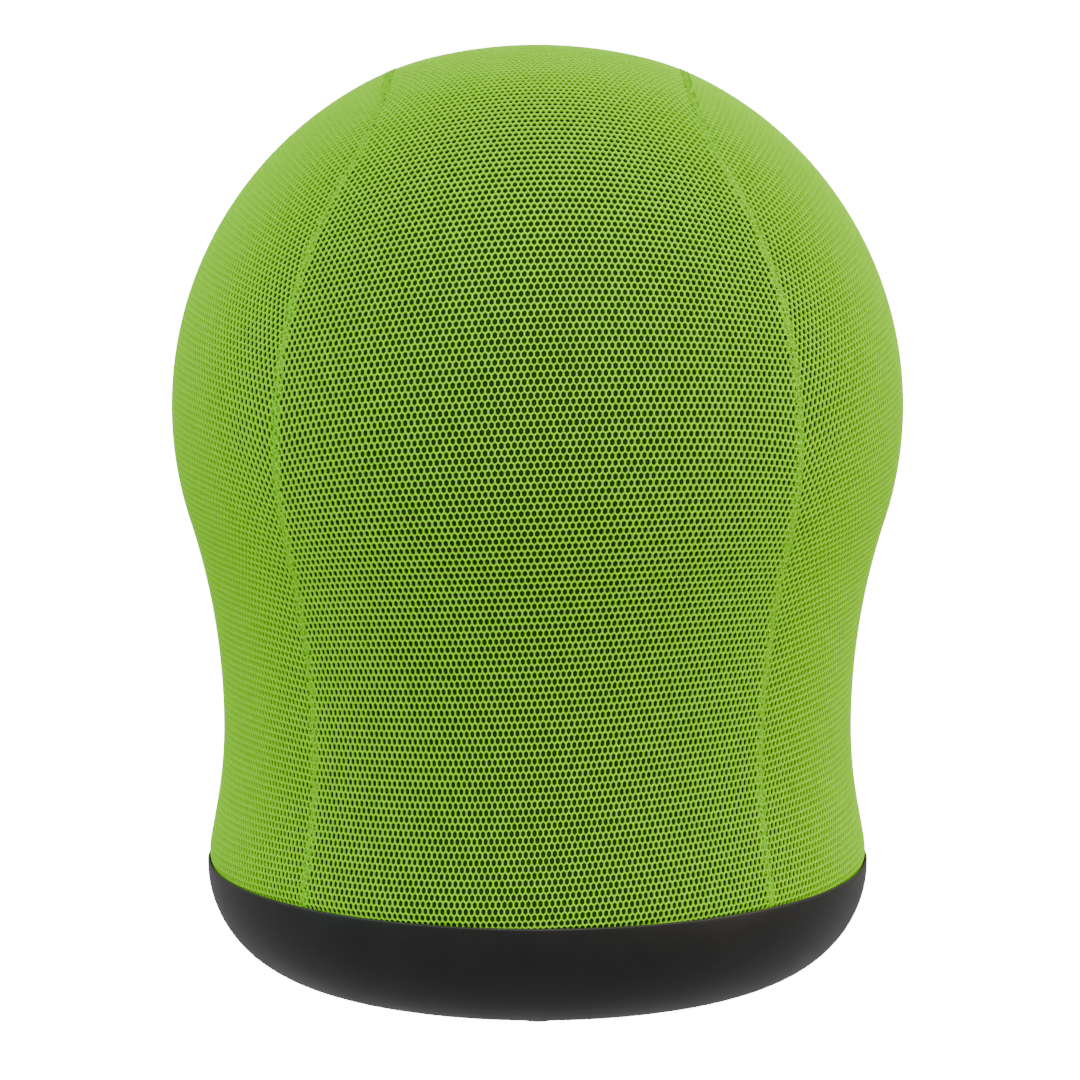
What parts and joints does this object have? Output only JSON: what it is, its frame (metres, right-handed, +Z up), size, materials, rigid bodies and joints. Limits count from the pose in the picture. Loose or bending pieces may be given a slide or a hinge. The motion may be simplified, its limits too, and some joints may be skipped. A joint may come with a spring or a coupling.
{
  "type": "exercise ball seat",
  "caption": "Swivel stool made of an inflated exercise ball in a stretched mesh cover with a waist, on a low round turning base.",
  "frame": {"origin": "on the floor, in the middle under the base", "axes": "+Z up along the axis that the seat turns about; the front faces -Y and the zip is at the back, +Y"},
  "size_m": [0.4444, 0.4444, 0.5705],
  "materials": {
    "bowl_plastic": "satin black",
    "tray_plastic": "fine grain",
    "foot_rubber": "matt",
    "zinc_steel": "zinc plated",
    "coated_steel": "black powder coat",
    "nylon": "natural nylon",
    "foam": "closed-cell foam",
    "ball_vinyl": "soft satin vinyl",
    "plug_plastic": "satin",
    "green_mesh": "open knitted mesh",
    "seam_mesh": "lapped and stitched",
    "hem_webbing": "woven",
    "zip_tape": "woven",
    "zip_teeth": "satin",
    "zip_metal": "painted"
  },
  "bodies": {
    "base": {"base_bowl": "bowl_plastic", "rubber_foot_1": "foot_rubber", "rubber_foot_2": "foot_rubber", "rubber_foot_3": "foot_rubber", "rubber_foot_4": "foot_rubber", "rubber_foot_5": "foot_rubber", "rubber_foot_6": "foot_rubber", "foot_screws": "zinc_steel", "base_plate": "coated_steel", "base_plate_screws": "zinc_steel", "lower_race": "zinc_steel", "lower_race_rivets": "zinc_steel", "pivot_bolt": "zinc_steel", "pivot_washer": "zinc_steel", "pivot_nut": "zinc_steel"},
    "bearing": {"bearing_balls": "zinc_steel", "ball_retainer": "nylon"},
    "seat": {"upper_race": "zinc_steel", "upper_race_rivets": "zinc_steel", "pivot_bush": "nylon", "seat_plate": "coated_steel", "seat_tray": "tray_plastic", "tray_screws": "zinc_steel", "post_pad_1": "coated_steel", "post_pad_2": "coated_steel", "post_pad_3": "coated_steel", "post_pad_4": "coated_steel", "cradle_post_1": "coated_steel", "cradle_post_2": "coated_steel", "cradle_post_3": "coated_steel", "cradle_post_4": "coated_steel", "post_bolts": "zinc_steel", "cradle_ring": "coated_steel", "ring_sleeve_1": "foam", "ring_sleeve_2": "foam", "ring_sleeve_3": "foam", "ring_sleeve_4": "foam", "inflated_ball": "ball_vinyl", "valve_sleeve": "ball_vinyl", "cover_centre_panel": "green_mesh", "cover_left_panel": "green_mesh", "cover_right_panel": "green_mesh", "cover_left_seam": "seam_mesh", "cover_right_seam": "seam_mesh", "hem_binding": "hem_webbing", "hem_strip": "nylon", "hem_screws": "zinc_steel", "zip_tape_upper": "zip_tape", "zip_tape_lower": "zip_tape", "zip_teeth_upper": "zip_teeth", "zip_teeth_lower": "zip_teeth", "zip_stop_closed": "zip_metal", "zip_stop_open": "zip_metal"},
    "zip_slider": {"zip_slider": "zip_metal"},
    "zip_pull": {"zip_pull": "zip_metal"},
    "valve_plug": {"valve_plug": "plug_plastic"}
  },
  "joints": [
    {"name": "seat_swivel", "type": "hinge", "parent": "base", "child": "seat", "pos_m": [0, 0, 0], "axis": [0, 0, 1], "continuous": true},
    {"name": "bearing_turn", "type": "hinge", "parent": "base", "child": "bearing", "pos_m": [0, 0, 0], "axis": [0, 0, 1], "continuous": true},
    {"name": "zip_travel", "type": "hinge", "parent": "seat", "child": "zip_slider", "pos_m": [0, 0, 0], "axis": [0, 0, 1], "range_deg": [0, 74]},
    {"name": "pull_swing", "type": "hinge", "parent": "zip_slider", "child": "zip_pull", "pos_m": [0.11651, 0.15462, 0.15807], "axis": [0, 0, 1], "range_deg": [0, 175]},
    {"name": "valve_pull", "type": "slide", "parent": "seat", "child": "valve_plug", "axis": [0, 0.5, -0.866], "range_m": [0, 0.014]}
  ],
  "couplings": [
    {"joint": "bearing_turn", "follows": "seat_swivel", "ratio": 0.5}
  ]
}
